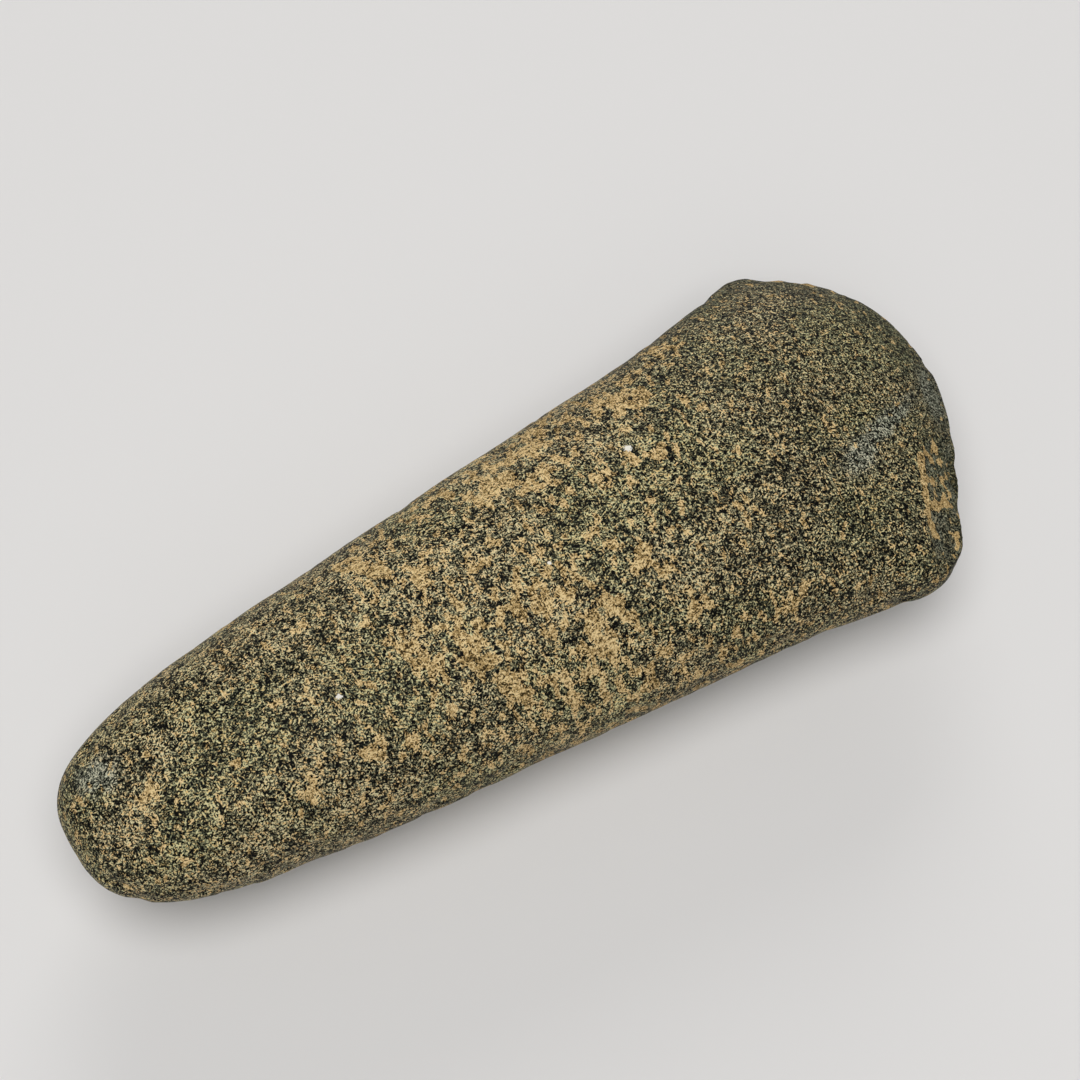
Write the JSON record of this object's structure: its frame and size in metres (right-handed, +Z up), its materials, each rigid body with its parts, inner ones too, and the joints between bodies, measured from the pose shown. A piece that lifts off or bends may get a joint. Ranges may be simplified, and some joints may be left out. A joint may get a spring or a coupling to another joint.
{
  "type": "polished stone axe",
  "caption": "Ground and polished stone axe head with a rounded butt, an oval section, flaring sides and a curved cutting edge, lying on a broad face.",
  "frame": {"origin": "below the middle of the axe, on the surface that it lies on", "axes": "+X along the axe towards its cutting edge, +Y to the left side, +Z up from the broad face that it lies on"},
  "size_m": [0.15, 0.06, 0.0368],
  "materials": {
    "stone": "satin"
  },
  "bodies": {
    "root": {"axe_head": "stone"}
  },
  "joints": []
}
